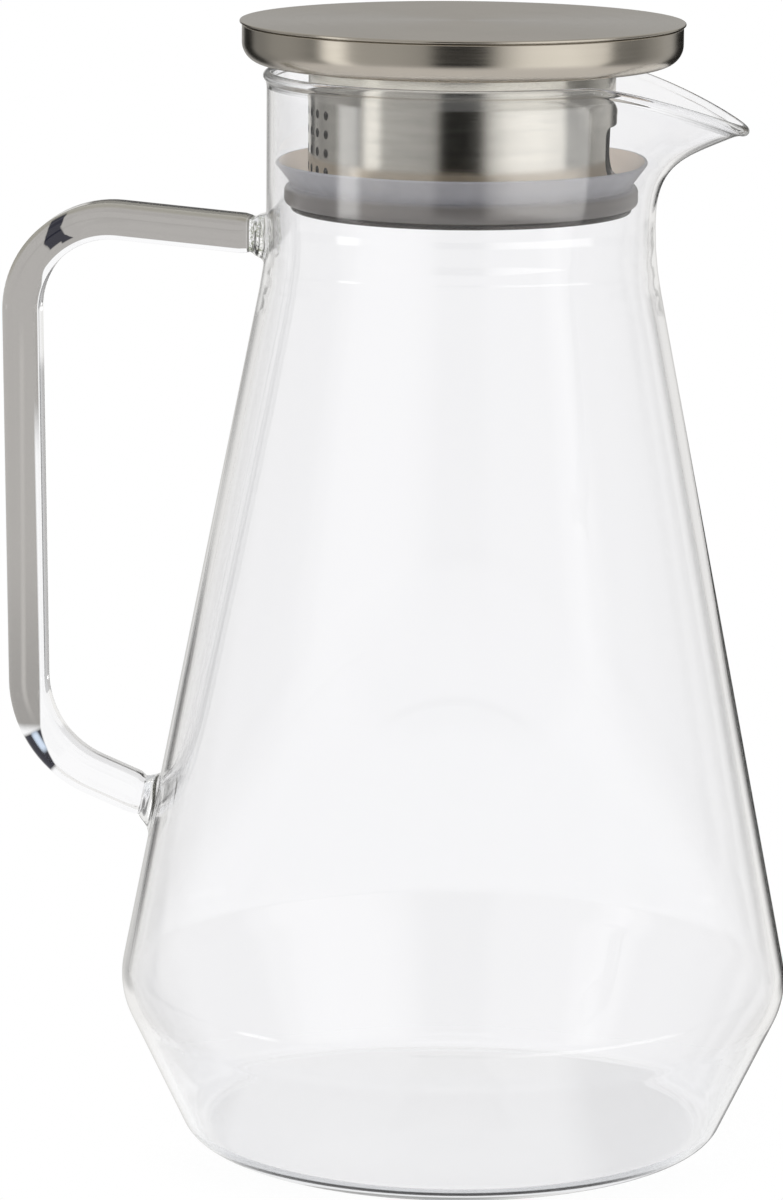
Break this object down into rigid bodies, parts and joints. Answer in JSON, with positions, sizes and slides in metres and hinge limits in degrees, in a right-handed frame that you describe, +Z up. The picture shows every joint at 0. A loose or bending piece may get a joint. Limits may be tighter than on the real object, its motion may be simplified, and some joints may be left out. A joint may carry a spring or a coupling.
{
  "type": "glass carafe",
  "caption": "Clear glass carafe with a conical body, a drawn spout, a glass bar handle and a lift-off steel lid with a strainer collar and a silicone seal.",
  "frame": {"origin": "on the vessel's axis, at the flat face that it rests on", "axes": "+Z up along the vessel's axis, +X towards the spout, with the handle along -X"},
  "size_m": [0.1748, 0.1484, 0.2488],
  "materials": {
    "glass": "clear, fire polished",
    "polished_steel": "fine satin",
    "brushed_steel": "brushed around its axis",
    "silicone": "translucent, matt"
  },
  "bodies": {
    "jug": {"glass_body": "glass", "handle_bar": "glass", "handle_upper_weld": "glass", "handle_lower_weld": "glass"},
    "seal": {"seal_ring": "silicone"},
    "lid": {"lid_under_pan": "polished_steel", "lid_top_disc": "polished_steel", "strainer_collar": "brushed_steel"}
  },
  "joints": [
    {"name": "lid_lift", "type": "slide", "parent": "jug", "child": "seal", "axis": [0, 0, 1], "range_m": [0, 0.08]},
    {"name": "lid_turn", "type": "hinge", "parent": "seal", "child": "lid", "pos_m": [0, 0, 0.24], "axis": [0, 0, 1], "continuous": true}
  ]
}
